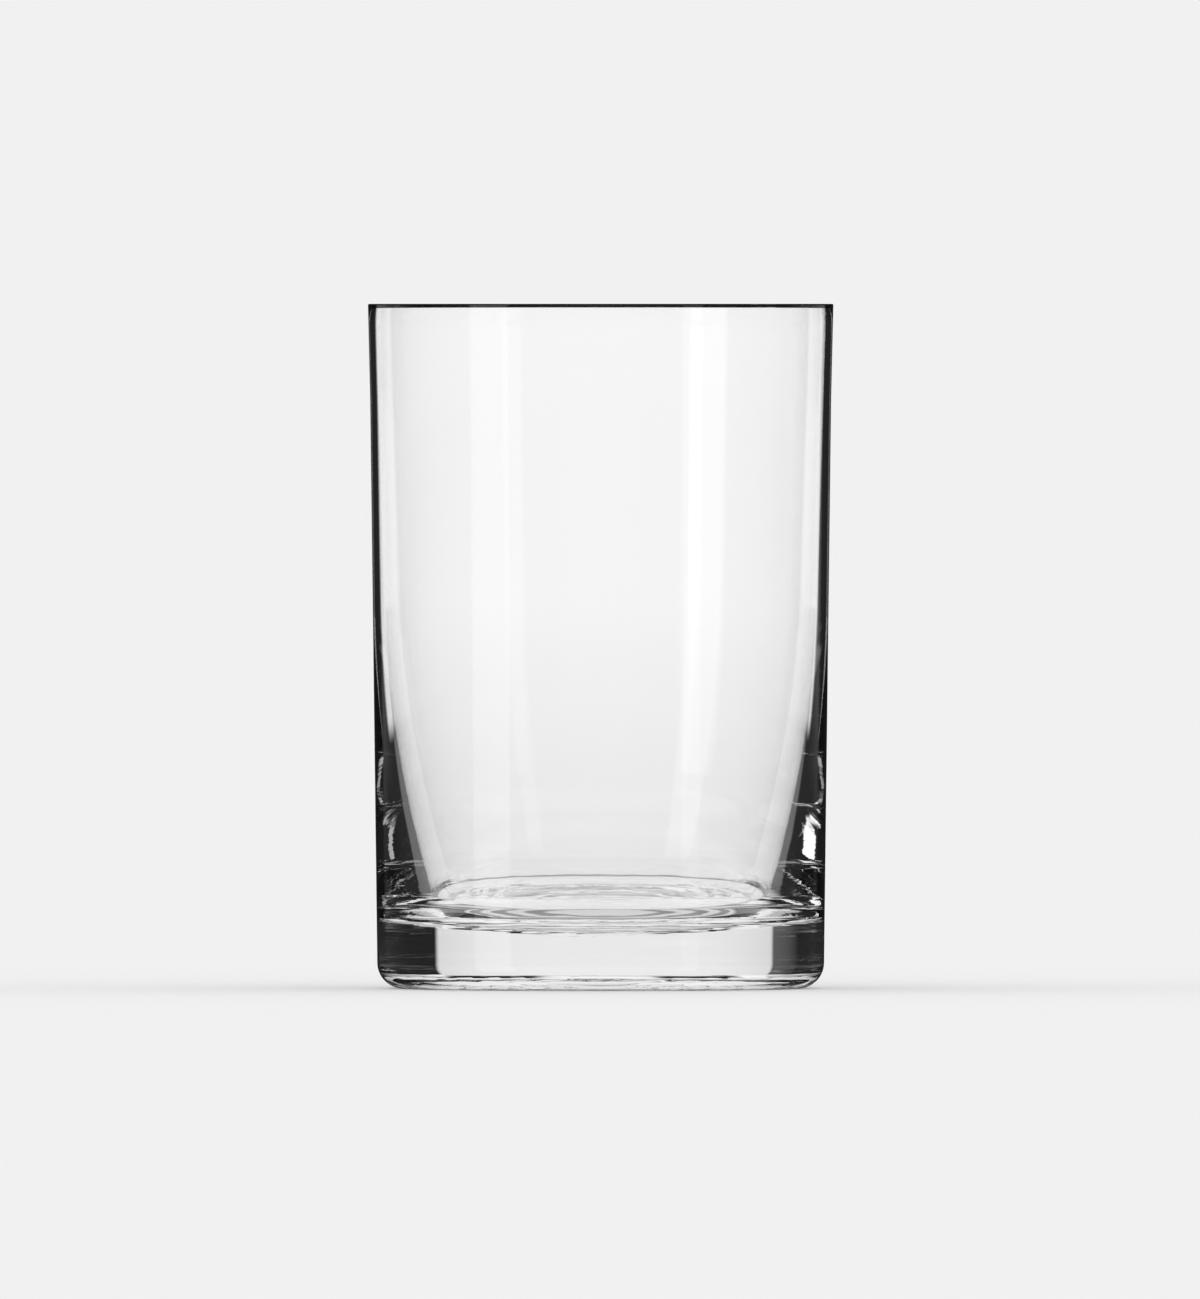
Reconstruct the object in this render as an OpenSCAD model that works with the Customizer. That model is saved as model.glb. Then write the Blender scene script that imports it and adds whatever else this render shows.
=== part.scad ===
// Water glass: one turned wall of clear glass, thin at the lip and heavy at the foot.
// Millimetres, axis on Z, bearing ring on Z = 0.

/* [Body] */
// height from the table to the top of the lip
height = 100; // [90:1:115]
// diameter over the lip
rim_d = 68; // [66:0.5:74]
// diameter of the wall's straight taper where it would meet the table
base_d = 65.2; // [62:0.2:65.4]

/* [Lip] */
// slope by which the top of the lip falls towards the inside, in degrees
lip_slope = 35; // [25:1:40]
// radius of the polished outer edge of the lip
lip_edge_r = 0.2; // [0.15:0.05:0.3]
// radius of the polished inner edge of the lip
lip_inner_r = 0.2; // [0.15:0.05:0.3]
// height of the stretch under the lip that opens a little wider
lip_h = 14; // [6:1:20]
// how far that stretch opens beyond the straight taper
lip_flare = 0.15; // [0.05:0.05:0.4]

/* [Wall] */
// glass thickness at the lip
wall_t = 1.05; // [0.9:0.05:1.3]
// height at which the wall starts to thicken towards the foot
shoulder_z = 56; // [50:1:62]
// glass thickness at that height
shoulder_t = 1.6; // [1.4:0.05:1.9]
// radius of the long curve by which the wall thickens
shoulder_r = 190; // [160:5:220]

/* [Bowl] */
// radius of the turn from the wall into the bottom of the bowl
corner_r = 5; // [3.5:0.5:9]
// radius of the shallow dish in the middle of the bottom
dish_r = 120; // [100:5:180]
// glass thickness from the table to the bottom of the dish
floor_t = 8; // [6:0.5:9.5]

/* [Foot] */
// radius of the heel between the wall and the underside
heel_r = 3.75; // [2.5:0.25:4.25]
// diameter inside the ring that the glass stands on
ring_d = 54; // [48:0.5:55]
// rise of the underside in the middle
push_up = 0.9; // [0.4:0.1:1.6]

/* [Hidden] */
$fn = 144;
rim_r = rim_d / 2;
base_r = base_d / 2;

// lip: middle of its outer edge, and the direction in which its sloping top faces
edge_c = [rim_r - lip_edge_r, height - lip_edge_r];
lip_n = [-sin(lip_slope), cos(lip_slope)];
edge_p = edge_c + lip_edge_r * lip_n;

// outer wall: lean of the straight taper, and its radius at a height
lean = (rim_r - lip_flare - base_r) / edge_c.y;
function outer_r(z) = base_r + lean * z;
lip_p = [outer_r(height - lip_h), height - lip_h];

// heel: a circle that touches the table and the tapered wall
tilt = atan(lean);
heel_c = [outer_r(heel_r) - heel_r / cos(tilt), heel_r];
heel_p = heel_c + heel_r * [cos(tilt), -sin(tilt)];

// underside: a shallow dome inside the bearing ring
dome_r = (pow(ring_d / 2, 2) + pow(push_up, 2)) / (2 * push_up);

// inner wall: straight from the lip to the shoulder, then three curves in turn,
// each touching the next, down to the middle of the dish
wall_p = [rim_r - wall_t, edge_c.y];
shoulder_p = [outer_r(shoulder_z) - shoulder_t, shoulder_z];
wall_dir = (wall_p - shoulder_p) / norm(wall_p - shoulder_p);
wall_n = [-wall_dir.y, wall_dir.x];
shoulder_c = shoulder_p + shoulder_r * wall_n;
dish_c = [0, floor_t + dish_r];
corner_c = crossing(shoulder_c, shoulder_r - corner_r, dish_c, dish_r - corner_r);
corner_p = on_circle(shoulder_c, shoulder_r, corner_c);
dish_p = on_circle(dish_c, dish_r, corner_c);

// inner edge of the lip: a circle that touches the sloping top and the inner wall
inner_c = meeting(lip_n, edge_p * lip_n - lip_inner_r, wall_n, wall_p * wall_n - lip_inner_r);
inner_top_p = inner_c + lip_inner_r * lip_n;
inner_wall_p = inner_c + lip_inner_r * wall_n;

// where the ray from a circle's middle c through p leaves the circle
function on_circle(c, r, p) = c + r * (p - c) / norm(p - c);

// the lower of the two points where two circles cross
function crossing(c1, r1, c2, r2) =
    let (d = norm(c2 - c1))
    let (u = (c2 - c1) / d)
    let (a = (r1 * r1 - r2 * r2 + d * d) / (2 * d))
    let (b = sqrt(r1 * r1 - a * a))
    c1 + a * u + b * [u.y, -u.x];

// where two lines meet, each given by its normal and its distance from the origin
function meeting(n1, d1, n2, d2) =
    [d1 * n2.y - d2 * n1.y, d2 * n1.x - d1 * n2.x] / (n1.x * n2.y - n1.y * n2.x);

// the part of a disc that bulges out to the right of the line from p to q
module bulge(c, r, p, q) {
    out = [q.y - p.y, p.x - q.x] / 2;
    intersection() {
        translate(c) circle(r);
        polygon([p, p + out, q + out, q]);
    }
}

// half section of the solid glass, as if it had no bowl
module outside() {
    polygon([
        [0, 0], [heel_c.x, 0], heel_p, lip_p, [rim_r, edge_c.y],
        edge_p, inner_top_p, inner_wall_p, [0, inner_wall_p.y]
    ]);
    bulge(heel_c, heel_r, [heel_c.x, 0], heel_p);
    bulge(edge_c, lip_edge_r, [rim_r, edge_c.y], edge_p);
    bulge(inner_c, lip_inner_r, inner_top_p, inner_wall_p);
}

// half section of the hollow, from the dish in its bottom to above the lip
module bowl() {
    bottom = [0, floor_t];
    polygon([
        bottom, dish_p, corner_p, shoulder_p, inner_wall_p,
        [inner_wall_p.x, height], [0, height]
    ]);
    bulge(dish_c, dish_r, bottom, dish_p);
    bulge(corner_c, corner_r, dish_p, corner_p);
    bulge(shoulder_c, shoulder_r, corner_p, shoulder_p);
}

module tumbler() {
    color([0.86, 0.92, 0.91, 0.5])
    rotate_extrude()
    difference() {
        outside();
        bowl();
        translate([0, push_up - dome_r]) circle(dome_r);
    }
}

tumbler();
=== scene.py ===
import math

import bpy
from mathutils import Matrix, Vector


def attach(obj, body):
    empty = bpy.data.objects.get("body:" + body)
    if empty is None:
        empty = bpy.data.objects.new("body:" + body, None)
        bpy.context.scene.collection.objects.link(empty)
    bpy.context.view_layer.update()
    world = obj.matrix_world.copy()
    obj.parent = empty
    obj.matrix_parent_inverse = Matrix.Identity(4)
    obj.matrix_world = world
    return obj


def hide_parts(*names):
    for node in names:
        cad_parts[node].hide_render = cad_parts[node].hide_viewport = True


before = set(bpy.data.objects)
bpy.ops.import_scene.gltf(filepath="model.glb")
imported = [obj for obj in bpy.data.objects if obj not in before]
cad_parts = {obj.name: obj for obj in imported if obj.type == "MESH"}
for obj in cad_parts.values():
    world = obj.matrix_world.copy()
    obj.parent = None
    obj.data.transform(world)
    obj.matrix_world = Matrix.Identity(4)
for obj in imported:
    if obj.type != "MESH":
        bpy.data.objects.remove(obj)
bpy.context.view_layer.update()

scene = bpy.context.scene


# Tumbler
# The whole glass is one piece of clear soda-lime glass, formed in a mould, then cut and flame-polished
# at the lip. Its half section is a chain of lines and arcs, as in the part's source, turned about the axis.
GLASS_HEIGHT = 0.100
LIP_RADIUS = 0.034
FOOT_RADIUS = 0.0326
LIP_HEIGHT = 0.014
LIP_FLARE = 0.00015
LIP_SLOPE = math.radians(35)
LIP_EDGE = 0.0002
LIP_INNER_EDGE = 0.0002
WALL_THICKNESS = 0.00105
SHOULDER_HEIGHT = 0.056
SHOULDER_THICKNESS = 0.0016
SHOULDER_RADIUS = 0.190
CORNER_RADIUS = 0.005
DISH_RADIUS = 0.120
FLOOR_THICKNESS = 0.008
HEEL_RADIUS = 0.00375
RING_RADIUS = 0.027
PUSH_UP = 0.0009


def vec(r, z):
    """A point of the half section: distance from the axis and height."""
    return Vector((r, 0.0, z))


def beyond(centre, radius, point):
    """Where the ray from an arc's centre through a point meets the arc."""
    return centre + radius * (point - centre).normalized()


# Outside: underside dome, bearing ring, heel, tapered wall, lip.
edge_centre = vec(LIP_RADIUS - LIP_EDGE, GLASS_HEIGHT - LIP_EDGE)
lean = (LIP_RADIUS - LIP_FLARE - FOOT_RADIUS) / edge_centre.z
tilt = math.atan(lean)
dome_radius = (RING_RADIUS**2 + PUSH_UP**2) / (2 * PUSH_UP)
dome_centre = vec(0, PUSH_UP - dome_radius)
heel_centre = vec(FOOT_RADIUS + lean * HEEL_RADIUS - HEEL_RADIUS / math.cos(tilt), HEEL_RADIUS)
heel_top = heel_centre + HEEL_RADIUS * vec(math.cos(tilt), -math.sin(tilt))
lip_low = vec(FOOT_RADIUS + lean * (GLASS_HEIGHT - LIP_HEIGHT), GLASS_HEIGHT - LIP_HEIGHT)

# Inside: straight wall, long shoulder curve, corner, dish.
wall_top = vec(LIP_RADIUS - WALL_THICKNESS, edge_centre.z)
shoulder = vec(FOOT_RADIUS + lean * SHOULDER_HEIGHT - SHOULDER_THICKNESS, SHOULDER_HEIGHT)
along = (wall_top - shoulder).normalized()
wall_normal = vec(-along.z, along.x)
shoulder_centre = shoulder + SHOULDER_RADIUS * wall_normal
dish_centre = vec(0, FLOOR_THICKNESS + DISH_RADIUS)
shoulder_reach = SHOULDER_RADIUS - CORNER_RADIUS
dish_reach = DISH_RADIUS - CORNER_RADIUS
gap = dish_centre - shoulder_centre
part_way = (shoulder_reach**2 - dish_reach**2 + gap.length_squared) / (2 * gap.length)
aside = math.sqrt(shoulder_reach**2 - part_way**2)
corner_centre = shoulder_centre + part_way * gap.normalized() + aside * vec(gap.z, -gap.x).normalized()
corner_top = beyond(shoulder_centre, SHOULDER_RADIUS, corner_centre)
dish_edge = beyond(dish_centre, DISH_RADIUS, corner_centre)

# Top of the lip: it falls towards the inside between two rounded edges.
lip_normal = vec(-math.sin(LIP_SLOPE), math.cos(LIP_SLOPE))
edge_end = edge_centre + LIP_EDGE * lip_normal
top_reach = edge_end.dot(lip_normal) - LIP_INNER_EDGE
wall_reach = wall_top.dot(wall_normal) - LIP_INNER_EDGE
cross = lip_normal.x * wall_normal.z - lip_normal.z * wall_normal.x
inner_centre = vec(
    (top_reach * wall_normal.z - wall_reach * lip_normal.z) / cross,
    (wall_reach * lip_normal.x - top_reach * wall_normal.x) / cross,
)
inner_start = inner_centre + LIP_INNER_EDGE * lip_normal
inner_end = inner_centre + LIP_INNER_EDGE * wall_normal

# The section starts as a single point on the axis under the foot and is drawn out from there.
START_SIZE = 0.001
bpy.ops.object.select_all(action="DESELECT")
bpy.ops.mesh.primitive_plane_add(size=START_SIZE, location=(0, 0, PUSH_UP))
tumbler = bpy.context.object
tumbler.name = "tumbler_glass"
bpy.ops.object.transform_apply(location=True)
bpy.ops.object.mode_set(mode="EDIT")
bpy.ops.mesh.merge(type="CENTER")
pen = vec(0, PUSH_UP)


def line_to(point, steps):
    """Draws the section on in a straight line."""
    global pen
    for _ in range(steps):
        bpy.ops.mesh.extrude_region_move(TRANSFORM_OT_translate={"value": (point - pen) / steps})
    pen = point


def arc_to(centre, point, steps, direction):
    """Draws the section on round an arc: direction 1 turns anticlockwise in the r-z plane, -1 clockwise."""
    global pen
    start = math.atan2(pen.z - centre.z, pen.x - centre.x)
    sweep = (math.atan2(point.z - centre.z, point.x - centre.x) - start) % (2 * math.pi)
    if direction < 0:
        sweep -= 2 * math.pi
    radius = (pen - centre).length
    last = pen
    for i in range(1, steps + 1):
        a = start + sweep * i / steps
        here = point if i == steps else centre + radius * vec(math.cos(a), math.sin(a))
        bpy.ops.mesh.extrude_region_move(TRANSFORM_OT_translate={"value": here - last})
        last = here
    pen = point


# Each stretch has its own count of steps: many where the glass is curved and seen through.
arc_to(dome_centre, vec(RING_RADIUS, 0), steps=20, direction=-1)
line_to(vec(heel_centre.x, 0), steps=3)
arc_to(heel_centre, heel_top, steps=18, direction=1)
line_to(lip_low, steps=16)
line_to(vec(LIP_RADIUS, edge_centre.z), steps=5)
arc_to(edge_centre, edge_end, steps=12, direction=1)
line_to(inner_start, steps=4)
arc_to(inner_centre, inner_end, steps=10, direction=1)
line_to(shoulder, steps=12)
arc_to(shoulder_centre, corner_top, steps=56, direction=-1)
arc_to(corner_centre, dish_edge, steps=36, direction=-1)
arc_to(dish_centre, vec(0, FLOOR_THICKNESS), steps=66, direction=-1)

TURN_STEPS = 352
MERGE_DISTANCE = 0.000002
bpy.ops.mesh.select_all(action="SELECT")
bpy.ops.mesh.spin(steps=TURN_STEPS, angle=2 * math.pi, center=(0, 0, 0), axis=(0, 0, 1))
bpy.ops.mesh.select_all(action="SELECT")
bpy.ops.mesh.remove_doubles(threshold=MERGE_DISTANCE)
bpy.ops.mesh.normals_make_consistent(inside=False)
bpy.ops.object.mode_set(mode="OBJECT")

# The bottom of the bowl keeps the unevenness of the hot glass: wandering rings in the dish, and waves that
# run out up the wall, strongest at the left and right, as in the photograph.
INSIDE_LOW = FLOOR_THICKNESS * 0.99
INSIDE_DEPTH = 0.001
NEAR_AXIS = 0.000001
WAVES_END = 0.028
WAVES_FADE = 0.012
WAVES_LEAST = 0.3
WAVE_HEIGHT = 0.000035
WAVE_LENGTH = 0.0055
RING_HEIGHT = 0.00004
RING_UNIT = 0.007
RING_NOISE = 0.6
RING_WANDER = 3.0
ringed = tumbler.vertex_groups.new(name="ringed")
wavy = tumbler.vertex_groups.new(name="wavy")
for vertex in tumbler.data.vertices:
    across = math.hypot(vertex.co.x, vertex.co.y)
    under_wall = FOOT_RADIUS + lean * vertex.co.z - across
    if INSIDE_LOW < vertex.co.z < WAVES_END and under_wall > INSIDE_DEPTH:
        ring_share = (corner_top.z - vertex.co.z) / (corner_top.z - dish_edge.z)
        ringed.add([vertex.index], max(0.0, min(1.0, ring_share)), "REPLACE")
        sideways = (vertex.co.x / max(across, NEAR_AXIS)) ** 2
        wave_share = min(1.0, (WAVES_END - vertex.co.z) / WAVES_FADE)
        wavy.add([vertex.index], wave_share * (WAVES_LEAST + (1 - WAVES_LEAST) * sideways), "REPLACE")

bpy.ops.object.select_all(action="DESELECT")
bpy.ops.object.empty_add(location=(0, 0, 0))
grain = bpy.context.object
grain.scale = (RING_UNIT, RING_UNIT, RING_UNIT)
rings = bpy.data.textures.new("wandering_rings", "WOOD")
rings.wood_type = "RINGNOISE"
rings.noise_basis_2 = "SIN"
rings.noise_scale = RING_NOISE
rings.turbulence = RING_WANDER
waves = bpy.data.textures.new("waves", "CLOUDS")
waves.noise_scale = WAVE_LENGTH
waves.noise_depth = 1

bpy.context.view_layer.objects.active = tumbler
for texture, depth, group in ((rings, RING_HEIGHT, "ringed"), (waves, WAVE_HEIGHT, "wavy")):
    bpy.ops.object.modifier_add(type="DISPLACE")
    displace = tumbler.modifiers[-1]
    displace.texture = texture
    displace.strength = depth
    displace.vertex_group = group
    displace.texture_coords = "LOCAL"
    if texture == rings:
        displace.texture_coords = "OBJECT"
        displace.texture_coords_object = grain
    bpy.ops.object.modifier_apply(modifier=displace.name)
bpy.data.objects.remove(grain)
tumbler.select_set(True)
bpy.ops.object.shade_smooth()

GLASS_INDEX = 1.52
glass = bpy.data.materials.new("clear_glass")
glass.use_nodes = True
nodes, links = glass.node_tree.nodes, glass.node_tree.links
shader = nodes["Principled BSDF"]
shader.inputs["Base Color"].default_value = (1, 1, 1, 1)
shader.inputs["IOR"].default_value = GLASS_INDEX
shader.inputs["Transmission Weight"].default_value = 1.0

# Drawn out level by the mould: long faint streaks round the foot, which fade out above it.
STREAK_SCALE = (30, 30, 700)
STREAK_DETAIL = 3.0
STREAK_STRENGTH = 0.35
STREAK_DEPTH = 0.0001
STREAKS_FULL_BELOW = 0.008
STREAKS_GONE_ABOVE = 0.016
place = nodes.new("ShaderNodeTexCoord")
stretch = nodes.new("ShaderNodeMapping")
stretch.inputs["Scale"].default_value = STREAK_SCALE
links.new(place.outputs["Object"], stretch.inputs["Vector"])
streaks = nodes.new("ShaderNodeTexNoise")
streaks.inputs["Scale"].default_value = 1.0
streaks.inputs["Detail"].default_value = STREAK_DETAIL
links.new(stretch.outputs["Vector"], streaks.inputs["Vector"])
bump = nodes.new("ShaderNodeBump")
bump.inputs["Strength"].default_value = STREAK_STRENGTH
bump.inputs["Distance"].default_value = STREAK_DEPTH
height = nodes.new("ShaderNodeSeparateXYZ")
links.new(place.outputs["Object"], height.inputs["Vector"])
fade = nodes.new("ShaderNodeMapRange")
fade.inputs["From Min"].default_value = STREAKS_GONE_ABOVE
fade.inputs["From Max"].default_value = STREAKS_FULL_BELOW
links.new(height.outputs["Z"], fade.inputs["Value"])
faded_streaks = nodes.new("ShaderNodeMath")
faded_streaks.operation = "MULTIPLY"
links.new(streaks.outputs["Fac"], faded_streaks.inputs[0])
links.new(fade.outputs["Result"], faded_streaks.inputs[1])
links.new(faded_streaks.outputs["Value"], bump.inputs["Height"])
links.new(bump.outputs["Normal"], shader.inputs["Normal"])

# Polish that is not quite even: a fine haze in patches.
PATCH_SCALE = 90.0
PATCH_DETAIL = 4.0
HAZE_STARTS = 0.45
HAZE_FULL = 0.75
HAZE_ROUGHNESS = 0.008
patches = nodes.new("ShaderNodeTexNoise")
patches.inputs["Scale"].default_value = PATCH_SCALE
patches.inputs["Detail"].default_value = PATCH_DETAIL
links.new(place.outputs["Object"], patches.inputs["Vector"])
haze = nodes.new("ShaderNodeMapRange")
haze.inputs["From Min"].default_value = HAZE_STARTS
haze.inputs["From Max"].default_value = HAZE_FULL
haze.inputs["To Min"].default_value = 0.0
haze.inputs["To Max"].default_value = HAZE_ROUGHNESS
links.new(patches.outputs["Fac"], haze.inputs["Value"])
links.new(haze.outputs["Result"], shader.inputs["Roughness"])

# The faint grey-green of soda-lime glass, which only shows along the wall and the foot.
GLASS_TINT = (0.925, 0.95, 0.942, 1)
TINT_DENSITY = 2.0
tint = nodes.new("ShaderNodeVolumeAbsorption")
tint.inputs["Color"].default_value = GLASS_TINT
tint.inputs["Density"].default_value = TINT_DENSITY
links.new(tint.outputs["Volume"], nodes["Material Output"].inputs["Volume"])
tumbler.data.materials.append(glass)

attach(tumbler, "root")
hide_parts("tumbler")


# Floor
# A plain pale sheet of paper that the glass stands on, out to the horizon. It lies a hair under the foot
# and takes its shadow. Inside the glass it isn't seen: there the studio's world stands in for the table.
ROUND_STEPS = 96
FLOOR_RADIUS = 30
FLOOR_DROP = 0.00002
PAPER_GREY = (0.88, 0.88, 0.88, 1)
bpy.ops.object.select_all(action="DESELECT")
bpy.ops.mesh.primitive_circle_add(
    vertices=ROUND_STEPS, radius=FLOOR_RADIUS, fill_type="NGON", location=(0, 0, -FLOOR_DROP)
)
floor = bpy.context.object
floor.name = "floor_sheet"
paper = bpy.data.materials.new("floor_paper")
paper.use_nodes = True
matt = paper.node_tree.nodes["Principled BSDF"]
matt.inputs["Base Color"].default_value = PAPER_GREY
matt.inputs["Roughness"].default_value = 1.0
matt.inputs["Specular IOR Level"].default_value = 0.0
floor.data.materials.append(paper)
floor.visible_transmission = False
floor.visible_glossy = False


# Table glow: a painted reflection
# A painted reflection of the pale table in the heel: a low band of light close round the foot, though no
# lamp.
# Only light that has passed the glass's surface twice, and been turned back inside it a few times, sees it.
GLOW_RADIUS = 0.036
GLOW_LOW = -0.0015
GLOW_HIGH = 0.0027
GLOW_STRENGTH = 0.9
GLOW_PASSES = 2
GLOW_FEWEST_TURNS = 1
GLOW_MOST_TURNS = 5
bpy.ops.object.select_all(action="DESELECT")
bpy.ops.mesh.primitive_cylinder_add(
    vertices=ROUND_STEPS,
    radius=GLOW_RADIUS,
    depth=GLOW_HIGH - GLOW_LOW,
    end_fill_type="NOTHING",
    location=(0, 0, (GLOW_LOW + GLOW_HIGH) / 2),
)
glow = bpy.context.object
glow.name = "painted_table_reflection"
shine = bpy.data.materials.new("painted_table_reflection")
shine.use_nodes = True
nodes, links = shine.node_tree.nodes, shine.node_tree.links
nodes.remove(nodes["Principled BSDF"])


def math_node(operation, *values):
    """One Math node in the node tree at hand; the values are numbers or sockets."""
    node = nodes.new("ShaderNodeMath")
    node.operation = operation
    for socket, value in zip(node.inputs, values):
        if isinstance(value, (int, float)):
            socket.default_value = value
        else:
            links.new(value, socket)
    return node.outputs[0]


path = nodes.new("ShaderNodeLightPath")
middle_turns = (GLOW_FEWEST_TURNS + GLOW_MOST_TURNS) / 2
turns_range = (GLOW_MOST_TURNS - GLOW_FEWEST_TURNS) / 2 + 0.5
passed_twice = math_node("COMPARE", path.outputs["Transmission Depth"], GLOW_PASSES, 0.5)
few_turns = math_node("COMPARE", path.outputs["Glossy Depth"], middle_turns, turns_range)
# Painted reflection: it glows only for light whose path fits, and is clear to all other light.
light = nodes.new("ShaderNodeEmission")
light.inputs["Strength"].default_value = GLOW_STRENGTH
unseen = nodes.new("ShaderNodeBsdfTransparent")
mix = nodes.new("ShaderNodeMixShader")
links.new(math_node("MULTIPLY", passed_twice, few_turns), mix.inputs["Fac"])
links.new(unseen.outputs[0], mix.inputs[1])
links.new(light.outputs[0], mix.inputs[2])
links.new(mix.outputs[0], nodes["Material Output"].inputs["Surface"])
glow.data.materials.append(shine)
glow.visible_camera = False
glow.visible_diffuse = False
glow.visible_shadow = False


# Studio
# An even pale room for the camera and the floor. In the glass it is a photographer's set, painted light and
# shade: a bright panel behind, black patches of painted shade at both sides, a pale table, a ceiling, and
# lamps beside the camera, with dark bands, painted highlights and a painted reflection. They would stand
# close to the glass, so each is seen only along its own kind of path through the glass.
world = bpy.data.worlds.new("studio")
scene.world = world
world.use_nodes = True
nodes, links = world.node_tree.nodes, world.node_tree.links
nodes.clear()
coordinate = nodes.new("ShaderNodeTexCoord")
flat = nodes.new("ShaderNodeVectorMath")
flat.operation = "MULTIPLY"
flat.inputs[1].default_value = (1, 1, 0)
links.new(coordinate.outputs["Generated"], flat.inputs[0])
level = nodes.new("ShaderNodeVectorMath")
level.operation = "NORMALIZE"
links.new(flat.outputs[0], level.inputs[0])
direction = nodes.new("ShaderNodeSeparateXYZ")
links.new(coordinate.outputs["Generated"], direction.inputs[0])
up = direction.outputs["Z"]


def sine(degrees):
    """Sine of an angle in degrees."""
    return math.sin(math.radians(degrees))


def cosine(degrees):
    """Cosine of an angle in degrees."""
    return math.cos(math.radians(degrees))


def slope(value, low, high, to_low, to_high):
    """A straight rise from one value to another."""
    node = nodes.new("ShaderNodeMapRange")
    links.new(value, node.inputs["Value"])
    for name, number in (("From Min", low), ("From Max", high), ("To Min", to_low), ("To Max", to_high)):
        node.inputs[name].default_value = number
    return node.outputs["Result"]


def ramp(value, low, high, to_low=0.0, to_high=1.0):
    """A soft step from one value to another."""
    result = slope(value, low, high, to_low, to_high)
    result.node.interpolation_type = "SMOOTHSTEP"
    return result


def shaded(value, tone):
    """1, or a tone where a value is 1."""
    return ramp(value, low=0, high=1, to_low=1.0, to_high=tone)


def either(*values):
    """The greatest of several values."""
    result = values[0]
    for value in values[1:]:
        result = math_node("MAXIMUM", result, value)
    return result


def both(*values):
    """The product of several values."""
    result = values[0]
    for value in values[1:]:
        result = math_node("MULTIPLY", result, value)
    return result


def without(value):
    """1 where a value is 0."""
    return math_node("SUBTRACT", 1.0, value)


def towards(azimuth):
    """Cosine of the angle to an azimuth, which is counted in degrees from +Y towards -X."""
    node = nodes.new("ShaderNodeVectorMath")
    node.operation = "DOT_PRODUCT"
    links.new(level.outputs[0], node.inputs[0])
    node.inputs[1].default_value = (-sine(azimuth), cosine(azimuth), 0)
    return node.outputs["Value"]


def beside(azimuth, half_width, softness):
    """1 for directions within half_width degrees of an azimuth."""
    return ramp(towards(azimuth), cosine(half_width + softness), cosine(half_width - softness))


def above(elevation, softness):
    """1 for directions higher than an elevation."""
    return ramp(up, sine(elevation - softness), sine(elevation + softness))


def below(elevation, softness):
    """1 for directions lower than an elevation."""
    return without(above(elevation, softness))


def between(low, low_softness, high, high_softness):
    """1 for directions between two elevations."""
    return both(above(low, low_softness), below(high, high_softness))


def window(azimuth, half_width, softness, low, high):
    """1 inside a window of directions, whose lower and upper edges are 2 degrees wide."""
    return both(beside(azimuth, half_width, softness), math_node("SUBTRACT", above(low, 1), above(high, 1)))


def more_than(depth, count):
    """1 for light that has met a kind of surface more than a count of times."""
    return math_node("GREATER_THAN", depth, count + 0.5)


# How light came through the glass: how often it passed its surface, and how often it was turned back.
path = nodes.new("ShaderNodeLightPath")
passes = path.outputs["Transmission Depth"]
turns = path.outputs["Glossy Depth"]
through_bowl = more_than(passes, 2)
in_wall_or_foot = without(through_bowl)
off_outside = without(more_than(passes, 0))
turned = more_than(turns, 0)
straight = without(turned)
tumbled = more_than(turns, 1)
led_along = more_than(turns, 9)
not_led_along = without(led_along)
inside = both(in_wall_or_foot, without(off_outside), turned)

# Azimuths of what stands behind the glass, seen as in the photograph, from a corner, a side and the back,
# and how wide and how far down the panel reaches, all in degrees.
PANEL = 1.5
PANEL_HALF_WIDTH = 38
PANEL_LOW = -10
CORNER = 45
SIDE = 90
BACK = -135

# Seen through the bowl: the panel, the pale table and the ceiling, both with dark bands of painted shade
# that draw dark rings in the dish, and painted shade that darkens the bowl the lower the light looks.
CEILING_EDGE = 23
CEILING_TONE = 0.82
# Bands of painted shade in the ceiling, low and high elevations in degrees.
CEILING_SHADE_BANDS = ((3.5, 6), (9, 12), (16, 20), (30, 34), (41, 46), (53, 60), (67, 74))
SHADE_BAND_SOFTNESS = 0.8
CEILING_SHADE_TONE = 0.42
TABLE_SHADE_LINE_TONE = 0.42
LIT_TABLE_TONE = 1.08
STEEP_TABLE_TONE = 0.85
table = below(-8, softness=1)
steep_table = below(-40, softness=5)
# Painted shade: the bowl grows darker the lower the light looks.
bowl_tone = slope(up, low=sine(-21), high=0.0, to_low=0.86, to_high=1.085)
ceiling_shade_bands = either(*(between(low, SHADE_BAND_SOFTNESS, high, SHADE_BAND_SOFTNESS) for low, high in CEILING_SHADE_BANDS))
ceiling_shade = shaded(both(ceiling_shade_bands, turned), CEILING_SHADE_TONE)
# Painted shade: dark lines in the table, which draw rings in the dish.
table_shade_lines = either(
    both(between(low=-43, low_softness=1.5, high=-37, high_softness=1), turned),
    between(low=-55, low_softness=1.5, high=-49, high_softness=1),
    between(low=-70, low_softness=2, high=-63, high_softness=2),
)
table_line_shade = shaded(table_shade_lines, TABLE_SHADE_LINE_TONE)
steep_fall = ramp(up, low=-0.86, high=-0.74, to_low=0.55, to_high=1.0)
table_in_front = both(table, beside(0, half_width=46, softness=3), steep_fall)
table_at_sides = both(
    table, either(beside(CORNER, half_width=84, softness=3), beside(BACK, half_width=40, softness=3))
)
other_sides = either(window(SIDE, half_width=40, softness=3, low=PANEL_LOW, high=4), table_at_sides)
lit_table = both(
    table, either(beside(CORNER, half_width=14, softness=5), beside(BACK, half_width=30, softness=5))
)
bowl_view = either(
    window(PANEL, PANEL_HALF_WIDTH, softness=1.5, low=PANEL_LOW, high=CEILING_EDGE),
    table_in_front,
    both(other_sides, straight),
    both(lit_table, straight, LIT_TABLE_TONE),
    both(steep_table, straight, STEEP_TABLE_TONE),
    both(above(CEILING_EDGE, softness=2), CEILING_TONE),
)
seen_through_bowl = both(through_bowl, bowl_view, bowl_tone, table_line_shade, ceiling_shade)
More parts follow.
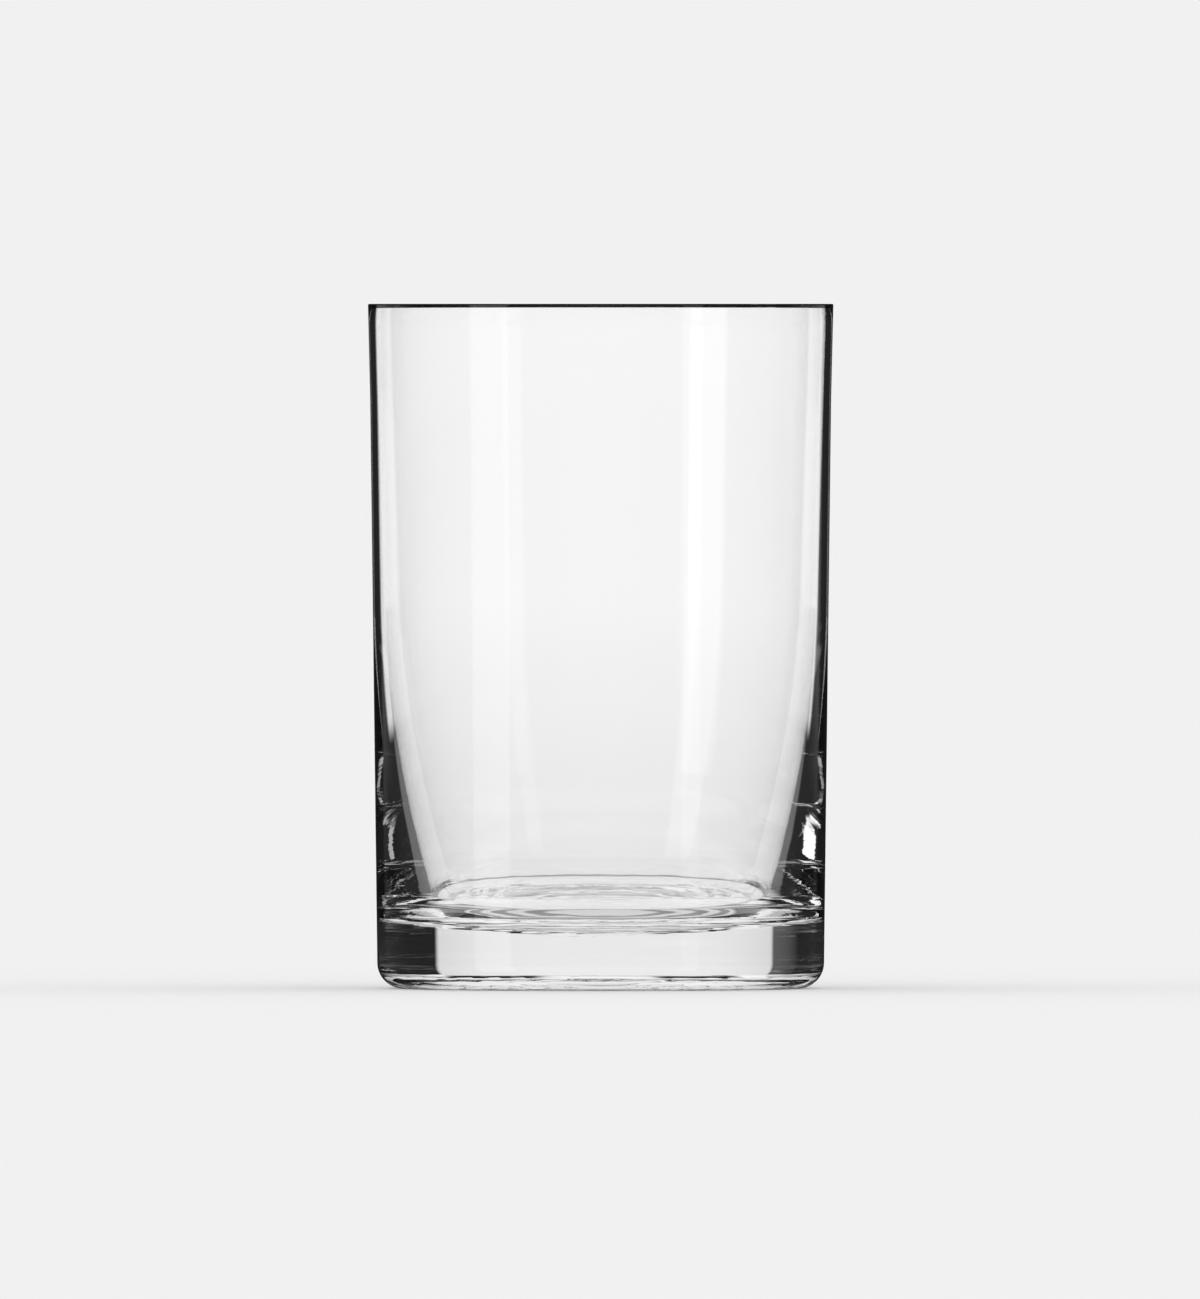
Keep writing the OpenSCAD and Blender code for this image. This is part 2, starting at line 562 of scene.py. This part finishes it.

# Seen straight through the foot: the same panel, falling off to both sides into painted shade, with a faint
# painted sheen beside it.
FOOT_TABLE_TONE = 0.9
FOOT_STEEP_TONE = 0.8
PANEL_TOP = 50
panel_fall = ramp(towards(PANEL), low=cosine(42), high=1.0, to_low=0.74, to_high=0.89)
panel_rise = slope(up, low=-0.04, high=0.06, to_low=0.96, to_high=1.03)
card_sheen = slope(towards(37), low=cosine(17), high=1.0, to_low=0.0, to_high=0.12)
foot_table = either(beside(CORNER, half_width=37, softness=3), beside(BACK, half_width=40, softness=3))
foot_view = either(
    both(window(PANEL, PANEL_HALF_WIDTH, softness=1, low=PANEL_LOW, high=PANEL_TOP), panel_fall, panel_rise),
    both(window(47, half_width=9, softness=3, low=PANEL_LOW, high=PANEL_TOP), card_sheen),
    window(SIDE, half_width=38, softness=3, low=PANEL_LOW, high=-1.5),
    both(below(-9, softness=1), foot_table, FOOT_TABLE_TONE),
    both(steep_table, FOOT_STEEP_TONE),
)
seen_through_foot = both(in_wall_or_foot, straight, foot_view)

# Turned once inside the wall: the panel and the room beside it, a dark patch of painted shade at each side
# that darkens the wall's edges, and the table.
ROOM_LOW = -3.4
ROOM_LOW_SOFTNESS = 0.4
ROOM_LEAST = 0.6
LEVEL_LOW = -15.5
LEVEL_LOW_SOFTNESS = 1.5
LEVEL_HIGH = 8
LEVEL_HIGH_SOFTNESS = 3
LOW_END = -34
LOW_END_SOFTNESS = 2
PANEL_MIDDLE_TONE = 0.45
EDGE_SHADE_TONE = 0.02
LOW_TONE = 0.19
LOW_EDGE_SHADE_TONE = 0.025
UNDER_FOOT_TONE = 0.85
WALL_CEILING_TONE = 0.85
WALL_TABLE_TONE = 0.7
room_fall = slope(towards(0), low=cosine(100), high=cosine(30), to_low=0.05, to_high=1.05)
panel_middle = shaded(beside(0, half_width=9, softness=2), PANEL_MIDDLE_TONE)
middle_tone = either(panel_middle, below(ROOM_LOW, ROOM_LOW_SOFTNESS))
room_width = either(above(ROOM_LOW, ROOM_LOW_SOFTNESS), beside(0, half_width=35, softness=2), ROOM_LEAST)
room = both(room_fall, middle_tone, room_width)
# Painted shade: dark patches that darken the edges of the wall.
edge_shade_patches = either(beside(17.5, half_width=8, softness=2.5), beside(-20.5, half_width=10.5, softness=2.5))
level_view = both(
    between(LEVEL_LOW, LEVEL_LOW_SOFTNESS, LEVEL_HIGH, LEVEL_HIGH_SOFTNESS),
    either(both(room, without(edge_shade_patches)), both(edge_shade_patches, EDGE_SHADE_TONE)),
)
# The same painted shade, lower down.
low_edge_shade_patches = either(beside(19, half_width=14, softness=2), beside(-21, half_width=14, softness=2))
low_view = both(
    between(LOW_END, LOW_END_SOFTNESS, LEVEL_LOW, LEVEL_LOW_SOFTNESS),
    ramp(low_edge_shade_patches, low=0, high=1, to_low=LOW_TONE, to_high=LOW_EDGE_SHADE_TONE),
)
under_foot = either(beside(PANEL, PANEL_HALF_WIDTH, softness=1), beside(SIDE, half_width=38, softness=3))
once_view = either(
    level_view,
    low_view,
    both(above(1.2, softness=0.4), under_foot, UNDER_FOOT_TONE),
    both(above(LEVEL_HIGH, LEVEL_HIGH_SOFTNESS), WALL_CEILING_TONE),
    both(below(LOW_END, LOW_END_SOFTNESS), WALL_TABLE_TONE, table_line_shade),
)

# Turned more often: the bright ceiling in front and the table. What the lip leads down the wall is lost.
FRONT_TABLE_TONE = 0.8
front_table = window(0, half_width=20, softness=4, low=LOW_END, high=-13)
front_ceiling = both(beside(0, half_width=60, softness=10), above(14, softness=4))
ceiling_rise = ramp(up, low=sine(22), high=sine(28), to_low=0.55, to_high=0.95)
often_view = either(both(front_table, FRONT_TABLE_TONE), both(front_ceiling, ceiling_rise))
wall_view = either(both(once_view, without(tumbled)), both(often_view, tumbled, not_led_along))
seen_in_wall = both(inside, wall_view)

# A painted reflection in the outside of the wall: a little of the room beside the panel.
sheen_tone = ramp(up, low=sine(-1.1), high=sine(-0.6), to_low=0.03, to_high=0.4)
beside_panel = without(beside(0, half_width=32, softness=4))
sheen = both(off_outside, room_fall, beside_panel, below(2, softness=1), sheen_tone)

# Two tall lamps beside the camera, seen by reflection only, and painted highlights in the wall: a bright
# glint beside the left lamp and a narrow band behind the camera, seen only by light turned inside the wall.
LAMP_LOW = -30
LAMP_HIGH = 52
GLINT_TONE = 1.6
RIGHT_LAMP_TONE = 0.55
SLIT_HIGHLIGHT_TONE = 0.7
left_lamp = window(122, half_width=10.5, softness=1, low=LAMP_LOW, high=LAMP_HIGH)
# Painted glint: a bright patch beside the left lamp, seen only by light turned more than once inside the
# wall.
glint = window(132, half_width=14, softness=1.5, low=-3, high=LAMP_HIGH)
right_lamp = window(-133, half_width=5, softness=1, low=LAMP_LOW, high=LAMP_HIGH)
# Painted highlight: a narrow band behind the camera, seen only by light that the lip leads down the wall.
slit_highlight = window(180, half_width=6, softness=2, low=-8, high=4)
lamps = either(
    both(left_lamp, without(inside)),
    both(glint, inside, tumbled, not_led_along, GLINT_TONE),
    both(right_lamp, without(both(inside, led_along)), RIGHT_LAMP_TONE),
    both(slit_highlight, inside, led_along, SLIT_HIGHLIGHT_TONE),
)

# The painted set for light that left the glass, and the plain room for the rest. Light that the floor gets
# through the glass comes mostly from the plain room, so that the set throws little pattern on it.
DARKEST = 0.015
BACKDROP_SHADE = 0.12
FLOOR_SHARE = 0.35
set_tone = either(seen_through_bowl, seen_through_foot, sheen, seen_in_wall, both(lamps, turned), DARKEST)
plain_tone = without(both(path.outputs["Is Camera Ray"], BACKDROP_SHADE))
from_glass = either(path.outputs["Is Glossy Ray"], path.outputs["Is Transmission Ray"])
from_floor = more_than(path.outputs["Diffuse Depth"], 0)
pick = nodes.new("ShaderNodeMix")
links.new(both(from_glass, shaded(from_floor, FLOOR_SHARE)), pick.inputs[0])
links.new(plain_tone, pick.inputs[2])
links.new(set_tone, pick.inputs[3])
backdrop = nodes.new("ShaderNodeBackground")
backdrop.inputs["Color"].default_value = (1, 1, 1, 1)
links.new(pick.outputs[0], backdrop.inputs["Strength"])
output = nodes.new("ShaderNodeOutputWorld")
links.new(backdrop.outputs[0], output.inputs["Surface"])

# Light is followed through many turns, because the wall leads it up and down.
scene.view_settings.view_transform = "Standard"
scene.cycles.max_bounces = 32
scene.cycles.transmission_bounces = 32
scene.cycles.glossy_bounces = 16


# Camera
# A long lens far away and level with the lip, as in the photograph, where lip and foot both look flat.
# It looks a little down, at the middle of the glass, and a hair to the left of its axis.
DISTANCE = 8.0
CAMERA_HEIGHT = 0.0985
CAMERA_SHIFT = -0.0001
AIM_HEIGHT = 0.0495
FRAME_HEIGHT = 0.1898
SENSOR_SIZE = 36
CLIP_END = 200
bpy.ops.object.camera_add(location=(CAMERA_SHIFT, -DISTANCE, CAMERA_HEIGHT))
camera = bpy.context.object
camera.name = "camera"
aim = Vector((CAMERA_SHIFT, 0, AIM_HEIGHT))
camera.rotation_mode = "QUATERNION"
camera.rotation_quaternion = (aim - camera.location).to_track_quat("-Z", "Y")
camera.data.lens = SENSOR_SIZE * DISTANCE / FRAME_HEIGHT
camera.data.clip_end = CLIP_END
scene.camera = camera
